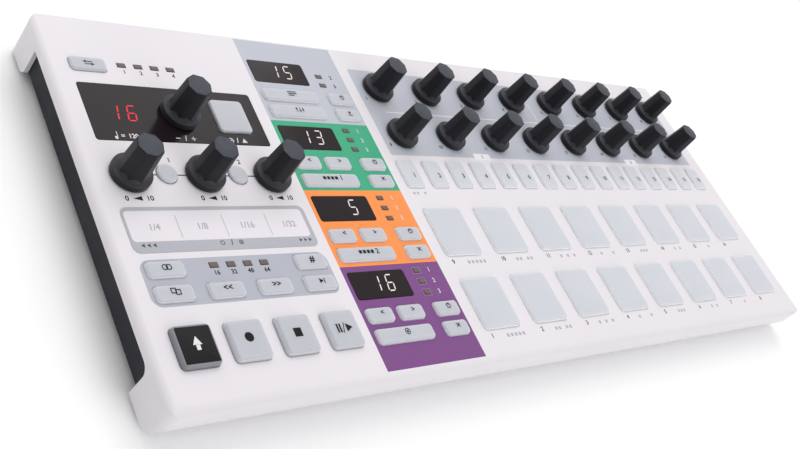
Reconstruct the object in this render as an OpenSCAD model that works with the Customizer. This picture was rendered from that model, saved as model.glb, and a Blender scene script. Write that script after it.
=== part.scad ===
// Desktop step sequencer: white top shell on a dark base pan, turning knobs, sprung keys and pads.
// Millimetres, +X right, +Y to the rear, +Z up. Origin on the table under the middle of the body.

/* [Case] */
// Width of the case
body_w = 412; // [408:1:440]
// Depth of the case, front to rear
body_d = 162; // [160:1:180]
// Height of the front and rear skirts, from the panel's top down
skirt_h = 17; // [16:0.5:24]
// Gap between the skirts and the table
ground_gap = 2; // [1.5:0.5:5]
// Thickness of the top panel
panel_t = 2.5; // [2.4:0.1:4]
// Thickness of the front and rear walls
wall_t = 3; // [2:0.25:4]
// Thickness of the side rims and side returns
side_t = 1.8; // [1.4:0.1:2.6]
// Height of the side rims
rim_h = 3.4; // [3.2:0.1:6]
// Length of the side returns at the front
return_l = 17; // [14:0.5:24]
// Length of the side returns at the rear
rear_return_l = 16; // [13:0.5:24]
// Radius of the soft top edges at the front and the sides
edge_r = 3; // [1:0.25:4]
// Radius of the rear top edge
rear_edge_r = 0.6; // [0.4:0.1:3]
// Radius of the lower front edge
nose_r = 8; // [5:0.5:9]
// Radius of the case's corners, seen from above
corner_r = 5; // [3:0.5:6]
// Radius in the front upper corner of the side cut-outs
cutout_r = 3.8; // [2:0.2:8]
// Radius of the rear returns' lower front corner
return_tip_r = 3.3; // [1:0.1:5]

/* [Base and board] */
// How far the base pan's floor lies above the skirts' lower edge
base_lift = 2; // [1:0.25:4]
// Thickness of the base pan's floor
base_t = 1.5; // [1:0.1:2.5]
// Thickness of the base pan's side walls
base_wall_t = 1.6; // [1:0.1:2.5]
// Space between the panel's underside and the board
board_drop = 6.9; // [6.5:0.1:7.4]
// Thickness of the board
board_t = 1.6; // [1:0.1:2]
// Radius of the feet
foot_r = 8; // [5:0.5:11]
// Distance of the feet's centres from the case's sides
foot_inset = 24; // [20:1:36]
// Outside radius of the screw posts
post_r = 2.7; // [2.5:0.1:2.9]
// Radius of the screws
screw_r = 1.5; // [1.2:0.05:1.6]
// Radius of the screw heads
screw_head_r = 2.8; // [2.4:0.1:3.4]
// Height of the screw heads
screw_head_h = 1.6; // [1:0.1:2.4]

/* [Panel layout] */
// Distance from the case's left side to the first keys
side_margin = 9.4; // [9:0.2:12]
// Distance from the case's front to the front keys
front_margin = 14; // [13.5:0.25:18]
// Gap between the left block and the coloured column
column_gap = 5.4; // [5:0.2:9]
// Width of the coloured column
column_w = 53.2; // [52.5:0.1:60]
// Gap between the coloured column and the pads
pad_gap = 7; // [6.8:0.1:12]
// Distance from the coloured column's last row to the case's rear
column_rear = 8; // [6:0.25:12]
// Distance from the pads to the case's right side
right_margin = 14; // [12:0.25:20]

/* [Knobs] */
// Spacing of the two rows of knobs
knob_row = 26.4; // [22:0.1:28]
// Distance from the step keys' centre to the front row of knobs
knob_behind_steps = 21.7; // [20.4:0.1:22.5]
// Radius of a knob's brim
brim_r = 7.7; // [7.2:0.1:8.8]
// Thickness of a knob's brim
brim_h = 2.5; // [1.5:0.1:3]
// Gap between a knob's brim and the panel
brim_gap = 0.6; // [0.5:0.1:2]
// Height of a knob's top above the panel
knob_top = 17.1; // [14:0.1:20]
// Width across the flats of a knob's grip, at its foot
grip_foot = 11.4; // [10.6:0.1:12.4]
// Width across the flats of a knob's grip, at its top
grip_top = 9.8; // [8:0.1:10.4]
// Turn of a knob's flats at rest, in degrees
grip_turn = 31; // [0:1:44]
// Radius of a knob's shaft
shaft_r = 3; // [2.5:0.1:3.2]
// Outside radius of an encoder's bush
bush_r = 4; // [3.7:0.1:4.4]
// Height of an encoder's bush above the panel
bush_rise = 1.8; // [1.2:0.1:3]
// Width of an encoder's body
encoder_w = 12; // [10:0.25:13]
// Spacing of the three small knobs of the left block
left_knob_pitch = 30.6; // [28:0.1:31]
// Distance from the left keys' edge to the first of those knobs
left_knob_in = 7.4; // [7:0.1:9]

/* [Pads] */
// Width of a pad
pad_w = 22.6; // [18:0.2:23.4]
// Depth of a pad
pad_d = 23.8; // [20:0.2:24.6]
// Spacing of the two rows of pads
pad_row = 34.9; // [34.4:0.1:36]
// Height of a pad above the panel
pad_rise = 1.2; // [1:0.1:3]
// Travel of a pad
pad_travel = 0.8; // [0.4:0.1:1]
// Corner radius of the pads
pad_r = 2.2; // [0.8:0.1:3]

/* [Keys] */
// Width of a left-block key, and the depth of the square ones
key_w = 14.6; // [12:0.2:16]
// Spacing of the left-block keys
key_pitch = 20.6; // [19.6:0.1:20.8]
// Depth of a small key
small_d = 6.2; // [5:0.1:6.6]
// Height of the small keys above the panel
small_rise = 1.2; // [0.8:0.1:2]
// Height of the square keys above the panel
square_rise = 2.2; // [1:0.1:3]
// Travel of a key
key_travel = 1; // [0.5:0.1:1.2]
// Corner radius of the keys
key_r = 1.7; // [0.6:0.1:2]
// Width of a step key
step_w = 10.6; // [8:0.1:12]
// Depth of a step key
step_d = 14.4; // [10:0.2:15]
// How far the row of step keys reaches past the pads at each end
step_out = 1.25; // [0:0.05:1.5]
// Distance from the rear pads' centre to the step keys' centre
step_behind_pads = 30.1; // [29.6:0.1:31]
// Width of a wide key in the coloured column
wide_w = 29.2; // [28.6:0.1:30]
// Width of a narrow key in the coloured column
narrow_w = 13; // [11:0.1:13.4]
// Spacing of the two key rows in the coloured column
key_row = 8.7; // [8.2:0.1:9]
// Width of the tap key
tap_w = 15.1; // [12:0.1:16]
// Depth of the tap key
tap_d = 15.6; // [12:0.1:16]
// Radius of the two round keys
round_r = 4; // [3.5:0.1:4.6]

/* [Windows, strip and lights] */
// Depth of a window in the coloured column
window_d = 11.7; // [10:0.1:12]
// Width of the tempo window
tempo_w = 75.8; // [74:0.2:78]
// Depth of the tempo window
tempo_d = 25.9; // [24:0.1:26.4]
// Corner radius of the windows
window_r = 1.1; // [0.5:0.1:2]
// Thickness of the windows
window_t = 1.6; // [1:0.1:1.8]
// Width of the touch strip
strip_w = 77; // [70:0.2:78]
// Depth of the touch strip
strip_d = 17.8; // [14:0.1:18]
// Corner radius of the touch strip
strip_r = 2.8; // [1:0.1:4]
// Thickness of the touch strip
strip_t = 1.2; // [0.8:0.1:1.6]
// Width of an indicator light
light_w = 3.4; // [2.4:0.1:4]
// Depth of an indicator light
light_d = 1.9; // [1:0.1:2]

/* [Rear sockets] */
// Spacing of the rear sockets
socket_pitch = 17; // [15:0.5:18]
// Radius of a socket's bore, for a 3.5 mm plug
socket_r = 1.8; // [1.6:0.05:2]
// Depth of a socket's bore
socket_deep = 12; // [10:0.5:12.5]
// Distance from the case's middle to the first socket
socket_x0 = -35; // [-40:1:0]
// Width of the USB inlet's slot
usb_w = 9; // [8:0.1:10]
// Height of the USB inlet's slot
usb_h = 3.2; // [2.6:0.1:3.4]

/* [Clearances] */
// Gap round every key, pad and light in its opening
key_gap = 0.3; // [0.2:0.05:0.5]
// Gap above a key's flange at rest
seat_gap = 0.2; // [0.1:0.05:0.4]
// Radial running clearance of a shaft in its bush
run_gap = 0.05; // [0.02:0.01:0.1]
// Gap between neighbouring parts of the case
fit_gap = 0.2; // [0.1:0.05:0.4]

/* [Hidden] */
$fn = 48;

// Heights
panel_z = ground_gap + skirt_h;
under_z = panel_z - panel_t;
board_z = under_z - board_drop;
base_z = ground_gap + base_lift;
floor_z = base_z + base_t;
flange_t = 1.2;
flange_z = under_z - seat_gap - flange_t;
flange_out = 1.2;
switch_gap = 0.4;
window_proud = 0.1;
pocket_t = window_t - window_proud;
strip_proud = 0.2;
strip_pocket = strip_t - strip_proud;
light_rise = 0.3;
eps = 0.01;

// Edges of the case
left_x = -body_w / 2;
front_y = -body_d / 2;
rear_y = body_d / 2;
pan_x = body_w / 2 - side_t - fit_gap;
pan_front = front_y + nose_r + 2 * fit_gap;
pan_rear = rear_y - wall_t - fit_gap;

// Rear sockets: one USB inlet, then the 3.5 mm sockets
socket_count = 10;
socket_h = board_drop - 2 * fit_gap;
socket_len = 14;
socket_in = 1;
socket_face = rear_y - socket_in;
collar_r = 3;
collar_t = 0.8;
socket_z = board_z + socket_h / 2;
usb_deep = 7;
function socket_x(i) = socket_x0 + i * socket_pitch;
bay_x = socket_x((socket_count - 1) / 2 - 0.5);
bay_w = (socket_count + 1) * socket_pitch + 2 * fit_gap;

// Left block
block_x = left_x + side_margin;
block_w = 3 * key_pitch + key_w;
front_keys_y = front_y + front_margin;
square_y = front_keys_y + key_w / 2;
link_row = 9.2;
post_clear = 0.65;
link_gap = 2 * (post_r + flange_out + post_clear);
link_y = square_y + key_w / 2 + link_gap + small_d / 2;
link_end = link_y + link_row + small_d / 2;
// The gaps behind the link keys share the depth that the strip, knobs, window and key leave
strip_gap = 3.9;
left_knob_gap = 5.9;
tempo_gap = 7.55;
sync_gap = 5.65;
title_gap = 20.6;
left_spread = (rear_y - link_end - strip_d - 2 * brim_r - tempo_d - small_d)
    / (strip_gap + left_knob_gap + tempo_gap + sync_gap + title_gap);
strip_y = link_end + strip_gap * left_spread + strip_d / 2;
left_knob_y = strip_y + strip_d / 2 + left_knob_gap * left_spread + brim_r;
tempo_y = left_knob_y + brim_r + tempo_gap * left_spread + tempo_d / 2;
sync_y = tempo_y + tempo_d / 2 + sync_gap * left_spread + small_d / 2;
tempo_x = block_x + tempo_w / 2;
strip_x = block_x + block_w / 2;
light_pitch = 7.13;
function block_key_x(i) = block_x + key_w / 2 + i * key_pitch;
function left_knob_x(i) = block_x + left_knob_in + i * left_knob_pitch;

// Coloured column
column_x = block_x + block_w + column_gap;
column_in = 2.1;
wide_x = column_x + column_in + wide_w / 2;
narrow_l_x = column_x + column_in + narrow_w / 2;
narrow_r_x = column_x + column_in + wide_w - narrow_w / 2;
end_x = column_x + column_w - column_in - narrow_w / 2;
column_light_out = 0.8;
column_light_x = end_x - narrow_w / 2 + light_w / 2 - column_light_out;
column_light_row = 5;
column_ahead = 0.4;
column_rows = 4;
column_row = (body_d - front_margin + column_ahead - column_rear) / column_rows;
window_ahead = 0.2;
window_behind_keys = (column_row + key_row) / 2 - window_ahead;
function column_y(row) = front_keys_y - column_ahead + small_d / 2 + row * column_row;
function window_y(row) = column_y(row) + window_behind_keys;

// Pads, steps and knobs of the right block
pads_x = column_x + column_w + pad_gap + pad_w / 2;
pads_y = front_keys_y + pad_d / 2;
right_end = body_w / 2 - right_margin;
knob_pitch = (right_end - pad_w / 2 - pads_x) / 7;
step_pitch = (right_end - pads_x + pad_w / 2 + 2 * step_out - step_w) / 15;
steps_x = pads_x - pad_w / 2 - step_out + step_w / 2;
// The rows share the depth between the front margin and the rear sockets
encoder_gap = 2;
rear_knobs_y = socket_face - socket_len - encoder_gap - encoder_w / 2;
rows_solid = 1.5 * pad_d + step_d + 3 * brim_r;
rows_spread = (rear_knobs_y - pads_y - rows_solid)
    / (pad_row + step_behind_pads + knob_behind_steps + knob_row - rows_solid);
function spread_row(spacing, solid) = solid + (spacing - solid) * rows_spread;
rear_pads_y = pads_y + spread_row(pad_row, pad_d);
steps_y = rear_pads_y + spread_row(step_behind_pads, (pad_d + step_d) / 2);
knobs_y = steps_y + spread_row(knob_behind_steps, step_d / 2 + brim_r);
function knob_at(i) = [pads_x + (i % 8) * knob_pitch, i < 8 ? rear_knobs_y : knobs_y];
function pad_at(i) = [pads_x + (i % 8) * knob_pitch, i < 8 ? pads_y : rear_pads_y];
rate_right = 0.4;
rate_back = 0.4;
tap_in = 24;
tap_back = 0.5;
round_right = -0.2;
round_spread = 0.3;
round_back = 0.6;
rate_at = [tempo_x + rate_right, tempo_y + rate_back];
tap_at = [tempo_x + tap_in, tempo_y + tap_back];
round_at = [for (i = [0:1])
    [left_knob_x(i + 0.5) + round_right + i * round_spread, left_knob_y + round_back]];
left_knobs = [for (i = [0:2]) [left_knob_x(i), left_knob_y]];
all_knobs = concat([rate_at], left_knobs, [for (i = [0:15]) knob_at(i)]);

// Keys as [x, y, width, depth]
square_keys = [for (i = [0:3]) [block_key_x(i), square_y, key_w, key_w]];
sync_key = [block_key_x(0), sync_y, key_w, small_d];
tap_key = [tap_at[0], tap_at[1], tap_w, tap_d];
link_keys = concat(
    [for (i = [0:3]) [block_key_x(i), link_y, key_w, small_d]],
    [for (i = [0, 3]) [block_key_x(i), link_y + link_row, key_w, small_d]]);
step_keys = [for (i = [0:15]) [steps_x + i * step_pitch, steps_y, step_w, step_d]];
function project_keys(y) = [
    [wide_x, y, wide_w, small_d], [wide_x, y + key_row, wide_w, small_d],
    [end_x, y, narrow_w, small_d], [end_x, y + key_row, narrow_w, small_d]];
function track_keys(y) = [
    [wide_x, y, wide_w, small_d], [end_x, y, narrow_w, small_d],
    [narrow_l_x, y + key_row, narrow_w, small_d], [narrow_r_x, y + key_row, narrow_w, small_d],
    [end_x, y + key_row, narrow_w, small_d]];
column_keys = concat(project_keys(column_y(3)), track_keys(column_y(2)), track_keys(column_y(1)),
                     track_keys(column_y(0)));
panel_keys = concat(square_keys, [sync_key, tap_key], link_keys, step_keys, column_keys);

// Indicator lights
sync_light_back = 1.2;
link_light_back = 1;
link_light_out = 1;
lights = concat(
    [for (i = [0:3]) [block_key_x(0) + (2 + i) * light_pitch, sync_y + sync_light_back]],
    [for (i = [0:3])
        [block_key_x(1) - link_light_out + i * light_pitch, link_y + link_row + link_light_back]],
    [for (row = [0:2], i = [-1:1]) [column_light_x, window_y(row) + i * column_light_row]],
    [for (i = [-1:0]) [column_light_x, window_y(3) + i * column_light_row]]);

// Screw posts stand in the free lanes between the keys
lane_x = column_x + column_w + (pad_gap - flange_out) / 2;
right_lane = (right_end + flange_out + pan_x - base_wall_t) / 2;
pad_lane = (pads_y + rear_pads_y) / 2;
lane_gap = 0.85;
knob_lane = steps_y + step_d / 2 + flange_out + lane_gap + post_r;
bay_post_gap = 7.1;
rear_lane = pan_rear - 2 * post_r;
link_lane = (square_y + key_w / 2 + link_y - small_d / 2) / 2;
posts = [
    [strip_x - strip_w / 2 + 2 * post_r, strip_y], [strip_x + strip_w / 2 - 2 * post_r, strip_y],
    [strip_x, link_lane], [strip_x - key_pitch, rear_lane], [strip_x + key_pitch, rear_lane],
    [lane_x, pads_y], [lane_x, knob_lane], [pads_x + 3.5 * knob_pitch, pad_lane],
    [pads_x + 3.5 * knob_pitch, knob_lane], [right_lane, pad_lane], [right_lane, knob_lane],
    [bay_x + bay_w / 2 + bay_post_gap, rear_lane]];

// Round-cornered rectangle about the origin
module soft_rect(w, d, r) {
    square([w - 2 * r, d], center = true);
    square([w, d - 2 * r], center = true);
    for (sx = [-1, 1], sy = [-1, 1])
        translate([sx * (w / 2 - r), sy * (d / 2 - r)]) circle(r);
}

// Square corner at the origin filled inside a fillet of radius r, towards +X and +Y
module corner_waste(r) {
    difference() {
        translate([-eps, -eps]) square(r + eps);
        translate([r, r]) circle(r);
    }
}

// Outline of the case seen from above
module plan_outline() {
    soft_rect(body_w, body_d, corner_r);
}

// Outline of the case seen from the front
module front_outline() {
    difference() {
        translate([-body_w / 2, ground_gap]) square([body_w, skirt_h]);
        for (s = [0, 1])
            mirror([s, 0]) translate([left_x, panel_z]) mirror([0, 1]) corner_waste(edge_r);
    }
}

// Outline of the case seen from the right side: front at the left, with a round lower nose
module side_outline() {
    difference() {
        translate([front_y, ground_gap]) square([body_d, skirt_h]);
        translate([front_y, panel_z]) mirror([0, 1]) corner_waste(edge_r);
        translate([rear_y, panel_z]) mirror([1, 0]) mirror([0, 1]) corner_waste(rear_edge_r);
        translate([front_y, ground_gap]) corner_waste(nose_r);
    }
}

// The space inside the case, seen from the right side
module side_inside() {
    difference() {
        translate([front_y + wall_t, ground_gap - eps])
            square([body_d - 2 * wall_t, skirt_h - panel_t + eps]);
        difference() {
            translate([front_y, ground_gap - eps]) square([nose_r, nose_r + eps]);
            translate([front_y + nose_r, ground_gap + nose_r]) circle(nose_r - wall_t);
        }
    }
}

// The open length of the side, where the base pan's wall shows
module side_cutout() {
    low = front_y + return_l;
    high = rear_y - rear_return_l;
    difference() {
        translate([low, ground_gap - eps]) square([high - low, skirt_h - rim_h + eps]);
        translate([low, panel_z - rim_h]) mirror([0, 1]) corner_waste(cutout_r);
    }
    translate([high, ground_gap]) corner_waste(return_tip_r);
}

// Stands a side-view outline up along X, from x0, w wide
module along_x(x0, w) {
    translate([x0, 0, 0]) rotate([90, 0, 90]) linear_extrude(w) children();
}

// Skirts and panel as one bent section, with the two side walls
module shell_walls() {
    along_x(left_x, body_w) difference() {
        side_outline();
        side_inside();
    }
    for (x0 = [left_x, body_w / 2 - side_t])
        along_x(x0, side_t) difference() {
            side_outline();
            side_cutout();
        }
}

// Openings through the panel for everything that passes it
module panel_openings() {
    for (k = panel_keys)
        translate([k[0], k[1]]) soft_rect(k[2] + 2 * key_gap, k[3] + 2 * key_gap, key_r + key_gap);
    for (i = [0:15])
        translate(pad_at(i)) soft_rect(pad_w + 2 * key_gap, pad_d + 2 * key_gap, pad_r + key_gap);
    for (p = round_at) translate(p) circle(round_r + key_gap);
    for (p = all_knobs) translate(p) circle(bush_r + fit_gap);
    for (p = lights) translate(p) square([light_w + 2 * fit_gap, light_d + 2 * fit_gap], center = true);
    for (d = digits)
        translate([d[0], d[1]]) square([d[2] + 2 * key_gap, d[3] + 2 * key_gap], center = true);
}

// Digit modules as [x, y, width, depth]
digit_w = 22;
digit_d = 8;
tempo_digit_d = 13;
tempo_digit_in = 22.5;
digit_right = 0.8;
digits = concat([[tempo_x - tempo_digit_in, tempo_y, digit_w, tempo_digit_d]],
                [for (row = [0:3]) [wide_x + digit_right, window_y(row), digit_w, digit_d]]);

// Screw posts hanging from the panel's underside down to the board
module shell_posts() {
    for (p = posts) translate([p[0], p[1], board_z])
        difference() {
            cylinder(r = post_r, h = board_drop + panel_t / 2);
            translate([0, 0, -eps]) cylinder(r = screw_r + run_gap, h = board_drop - 1);
        }
}

module top_shell() {
    color("#EAE6EA") {
        difference() {
            intersection() {
                shell_walls();
                translate([0, 0, ground_gap]) linear_extrude(skirt_h) plan_outline();
                translate([0, rear_y, 0]) rotate([90, 0, 0]) linear_extrude(body_d) front_outline();
            }
            translate([0, 0, under_z - 1]) linear_extrude(panel_t + 2) panel_openings();
            translate([0, 0, panel_z - pocket_t]) linear_extrude(pocket_t + 1) window_outlines(fit_gap);
            translate([strip_x, strip_y, panel_z - strip_pocket]) linear_extrude(strip_pocket + 1)
                soft_rect(strip_w + 2 * fit_gap, strip_d + 2 * fit_gap, strip_r + fit_gap);
            translate([bay_x - bay_w / 2, rear_y - wall_t - 1, board_z - fit_gap])
                cube([bay_w, wall_t + 2, socket_h + 2 * fit_gap]);
        }
        shell_posts();
    }
}

module base_pan() {
    pan_l = pan_rear - pan_front;
    color("#303138") difference() {
        union() {
            translate([-pan_x, pan_front, base_z]) cube([2 * pan_x, pan_l, base_t]);
            for (x0 = [-pan_x, pan_x - base_wall_t])
                translate([x0, pan_front, base_z])
                    cube([base_wall_t, pan_l, under_z - fit_gap - base_z]);
            for (p = posts) translate([p[0], p[1], base_z])
                cylinder(r = post_r, h = board_z - board_t - base_z);
        }
        for (p = posts) translate([p[0], p[1], base_z - 1])
            cylinder(r = screw_r + fit_gap, h = board_z - base_z);
    }
}

module main_board() {
    board_in = 1;
    board_x = pan_x - base_wall_t - board_in;
    color("#1F5A3A") difference() {
        translate([-board_x, pan_front + board_in, board_z - board_t])
            cube([2 * board_x, pan_rear - pan_front - 2 * board_in, board_t]);
        for (p = posts) translate([p[0], p[1], board_z - board_t - 1])
            cylinder(r = screw_r + fit_gap, h = board_t + 2);
    }
}

// Outlines of the five windows, grown by g
module window_outlines(g) {
    translate([tempo_x, tempo_y]) soft_rect(tempo_w + 2 * g, tempo_d + 2 * g, window_r + g);
    for (row = [0:3])
        translate([wide_x, window_y(row)]) soft_rect(wide_w + 2 * g, window_d + 2 * g, window_r + g);
}

module display_windows() {
    color("#3C3634") translate([0, 0, panel_z - pocket_t]) linear_extrude(window_t) difference() {
        window_outlines(0);
        translate(rate_at) circle(bush_r + fit_gap);
        translate(tap_at) soft_rect(tap_w + 2 * key_gap, tap_d + 2 * key_gap, key_r + key_gap);
    }
}

module digit_displays() {
    color("#5A1A18") for (d = digits)
        translate([d[0] - d[2] / 2, d[1] - d[3] / 2, board_z])
            cube([d[2], d[3], panel_z - pocket_t - fit_gap - board_z]);
}

module indicator_lights() {
    color("#6E625C") for (p = lights)
        translate([p[0] - light_w / 2, p[1] - light_d / 2, board_z])
            cube([light_w, light_d, panel_z + light_rise - board_z]);
}

module touch_strip() {
    color("#E4E3E8") translate([strip_x, strip_y, panel_z - strip_pocket])
        linear_extrude(strip_t) soft_rect(strip_w, strip_d, strip_r);
}

// One encoder: square body on the board, round bush through the panel, bore for the shaft
module encoder() {
    shaft_seat = 0.8;
    difference() {
        union() {
            translate([-encoder_w / 2, -encoder_w / 2, board_z])
                cube([encoder_w, encoder_w, board_drop - 2 * fit_gap]);
            translate([0, 0, board_z]) cylinder(r = bush_r, h = panel_z + bush_rise - board_z);
        }
        translate([0, 0, board_z + shaft_seat])
            cylinder(r = shaft_r + run_gap, h = panel_z + bush_rise - board_z);
    }
}

module encoders() {
    color("#8A8D90") for (p = all_knobs) translate(p) encoder();
}

// Block with one 3.5 mm socket, its face at y = 0
module socket_block() {
    difference() {
        union() {
            translate([-socket_pitch / 2 + fit_gap, -socket_len, 0])
                cube([socket_pitch - 2 * fit_gap, socket_len, socket_h]);
            translate([0, -1, socket_h / 2]) rotate([-90, 0, 0]) cylinder(r = collar_r, h = 1 + collar_t);
        }
        translate([0, collar_t - socket_deep, socket_h / 2]) rotate([-90, 0, 0])
            cylinder(r = socket_r, h = socket_deep + 1);
    }
}

// Block with the USB inlet's slot
module usb_block() {
    difference() {
        translate([-socket_pitch / 2 + fit_gap, -socket_len, 0])
            cube([socket_pitch - 2 * fit_gap, socket_len, socket_h]);
        translate([0, 1, socket_h / 2]) rotate([90, 0, 0]) linear_extrude(usb_deep + 1)
            soft_rect(usb_w, usb_h, usb_h / 2 - eps);
    }
}

module rear_sockets() {
    color("#202124") {
        translate([socket_x(-1), socket_face, board_z]) usb_block();
        for (i = [0:socket_count - 1]) translate([socket_x(i), socket_face, board_z]) socket_block();
    }
}

module screws() {
    color("#4A4C50") for (p = posts) translate([p[0], p[1], base_z]) {
        translate([0, 0, -screw_head_h]) cylinder(r = screw_head_r, h = screw_head_h);
        cylinder(r = screw_r, h = board_z + board_drop - 1.5 - base_z);
    }
}

module feet() {
    color("#1E1E20") for (sx = [-1, 1], sy = [-1, 1])
        translate([sx * (body_w / 2 - foot_inset), sy * (body_d / 2 - foot_inset), 0])
            cylinder(r = foot_r, h = base_z);
}

// Eight-sided tapered grip: four wedge-sided bars crossing on the axis
module grip(h) {
    module bar(turn) {
        rotate([90, 0, turn]) linear_extrude(2 * grip_foot, center = true)
            polygon([[-grip_foot / 2, 0], [grip_foot / 2, 0], [grip_top / 2, h], [-grip_top / 2, h]]);
    }
    intersection() {
        bar(0);
        bar(45);
        bar(90);
        bar(135);
    }
}

// A knob's cap with its shaft, axis through the origin, panel at panel_z
module knob() {
    shoulder_h = 1.8;
    shoulder_in = 0.8;
    brim_z = panel_z + brim_gap;
    hollow_z = panel_z + bush_rise + 2 * fit_gap;
    shaft_top = panel_z + knob_top - 5;
    grip_z = brim_z + brim_h - eps;
    difference() {
        union() {
            translate([0, 0, brim_z]) cylinder(r = brim_r, h = brim_h);
            translate([0, 0, brim_z + brim_h - eps])
                cylinder(r1 = brim_r - shoulder_in, r2 = grip_foot / 2, h = shoulder_h);
            translate([0, 0, grip_z]) rotate(grip_turn) grip(panel_z + knob_top - grip_z);
        }
        translate([0, 0, brim_z - 1]) cylinder(r = bush_r + 3 * fit_gap, h = hollow_z - brim_z + 1);
        translate([0, 0, brim_z]) cylinder(r = shaft_r + run_gap, h = shaft_top + fit_gap - brim_z);
    }
    shaft_foot = board_z + 1;
    translate([0, 0, shaft_foot]) cylinder(r = shaft_r, h = shaft_top - shaft_foot);
}

module panel_knob(p) {
    color("#2A2B30") translate(p) knob();
}

// A sprung key: cap through the panel, flange under it, plunger down towards the board
module key_cap(k, r, rise) {
    translate([k[0], k[1], flange_z]) {
        linear_extrude(panel_z + rise - flange_z) soft_rect(k[2], k[3], r);
        linear_extrude(flange_t) soft_rect(k[2] + 2 * flange_out, k[3] + 2 * flange_out, r + flange_out);
    }
}

module plunger(x, y, travel) {
    foot_z = board_z + travel + switch_gap;
    translate([x, y, foot_z]) cylinder(r = 2, h = flange_z - foot_z + flange_t / 2);
}

module single_key(k, rise) {
    color("#D2D5DB") {
        key_cap(k, key_r, rise);
        plunger(k[0], k[1], key_travel);
    }
}

// Several keys on one rubber web: x0, x1, y0, y1 are the web's edges
module web(x0, x1, y0, y1) {
    translate([x0, y0, flange_z]) cube([x1 - x0, y1 - y0, flange_t]);
}

module key_bank(keys) {
    for (k = keys) {
        translate([k[0], k[1], flange_z])
            linear_extrude(panel_z + small_rise - flange_z) soft_rect(k[2], k[3], key_r);
        plunger(k[0], k[1], key_travel);
    }
}

// Web under a whole bank of column keys whose front row is at y
module column_keypad(keys, y) {
    color("#D2D5DB") {
        key_bank(keys);
        web(wide_x - wide_w / 2 - flange_out, end_x + narrow_w / 2 + flange_out,
            y - small_d / 2 - flange_out, y + key_row + small_d / 2 + flange_out);
    }
}

module link_keypad() {
    x0 = block_key_x(0) - key_w / 2 - flange_out;
    x1 = block_key_x(3) + key_w / 2 + flange_out;
    y0 = link_y - small_d / 2 - flange_out;
    y1 = link_y + small_d / 2 + flange_out;
    y2 = y1 + link_row;
    color("#D2D5DB") {
        key_bank(link_keys);
        web(x0, x1, y0, y1);
        web(x0, x0 + key_w + 2 * flange_out, y0, y2);
        web(x1 - key_w - 2 * flange_out, x1, y0, y2);
    }
}

module step_keypad() {
    color("#D2D5DB") {
        key_bank(step_keys);
        web(steps_x - step_w / 2 - flange_out, steps_x + 15 * step_pitch + step_w / 2 + flange_out,
            steps_y - step_d / 2 - flange_out, steps_y + step_d / 2 + flange_out);
    }
}

// Two round keys joined by a rubber bridge that passes in front of the middle knob's encoder
module track_buttons() {
    bridge_d = 3.4;
    bridge_y1 = left_knob_y - encoder_w / 2 - 1;
    leg_w = round_r;
    color("#D2D5DB") {
        for (p = round_at) {
            translate([p[0], p[1], flange_z]) {
                cylinder(r = round_r, h = panel_z + small_rise - flange_z);
                cylinder(r = round_r + flange_out, h = flange_t);
            }
            plunger(p[0], p[1], key_travel);
            web(p[0] - leg_w / 2, p[0] + leg_w / 2, bridge_y1 - bridge_d, p[1]);
        }
        web(round_at[0][0] - leg_w / 2, round_at[1][0] + leg_w / 2, bridge_y1 - bridge_d, bridge_y1);
    }
}

module pad(i) {
    p = pad_at(i);
    block = 8;
    foot_z = board_z + pad_travel + switch_gap;
    color("#D8DBE0") {
        key_cap([p[0], p[1], pad_w, pad_d], pad_r, pad_rise);
        translate([p[0] - block / 2, p[1] - block / 2, foot_z])
            cube([block, block, flange_z - foot_z + flange_t / 2]);
    }
}

top_shell();
base_pan();
main_board();
display_windows();
digit_displays();
indicator_lights();
touch_strip();
encoders();
rear_sockets();
screws();
feet();
panel_knob(rate_at);  // rate_knob
panel_knob(left_knobs[0]);  // swing_knob
panel_knob(left_knobs[1]);  // randomness_knob
panel_knob(left_knobs[2]);  // probability_knob
for (i = [0:15]) panel_knob(knob_at(i));
for (i = [0:15]) pad(i);
single_key(square_keys[0], square_rise);  // shift_button
single_key(square_keys[1], square_rise);  // record_button
single_key(square_keys[2], square_rise);  // stop_button
single_key(square_keys[3], square_rise);  // play_button
single_key(tap_key, small_rise);  // tap_button
single_key(sync_key, small_rise);  // sync_button
track_buttons();
link_keypad();
step_keypad();
column_keypad(project_keys(column_y(3)), column_y(3));  // project_keypad
column_keypad(track_keys(column_y(2)), column_y(2));  // sequencer_1_keypad
column_keypad(track_keys(column_y(1)), column_y(1));  // sequencer_2_keypad
column_keypad(track_keys(column_y(0)), column_y(0));  // drum_keypad
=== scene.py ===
import math

import bmesh
import bpy
from mathutils import Matrix, Vector


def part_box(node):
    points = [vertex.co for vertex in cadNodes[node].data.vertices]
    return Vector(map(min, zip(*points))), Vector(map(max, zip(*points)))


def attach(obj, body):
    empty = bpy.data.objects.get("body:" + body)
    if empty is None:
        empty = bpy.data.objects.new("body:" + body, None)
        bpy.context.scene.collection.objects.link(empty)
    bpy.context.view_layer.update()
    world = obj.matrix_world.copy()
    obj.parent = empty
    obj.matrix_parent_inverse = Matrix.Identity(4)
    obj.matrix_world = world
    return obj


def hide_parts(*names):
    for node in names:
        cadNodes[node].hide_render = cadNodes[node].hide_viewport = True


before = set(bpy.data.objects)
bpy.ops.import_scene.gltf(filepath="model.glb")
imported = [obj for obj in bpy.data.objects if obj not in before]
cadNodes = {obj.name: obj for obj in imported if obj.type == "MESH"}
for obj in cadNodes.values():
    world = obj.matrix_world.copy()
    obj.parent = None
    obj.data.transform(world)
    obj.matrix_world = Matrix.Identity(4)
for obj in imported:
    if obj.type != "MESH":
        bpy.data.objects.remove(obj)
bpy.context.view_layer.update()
mm = 0.001
hair = 0.01 * mm
stepCount = 16  # step keys, pads, and knobs in the two rows
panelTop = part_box("top_shell")[1].z
print("frame loaded:", len(cadNodes), "nodes")


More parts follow.
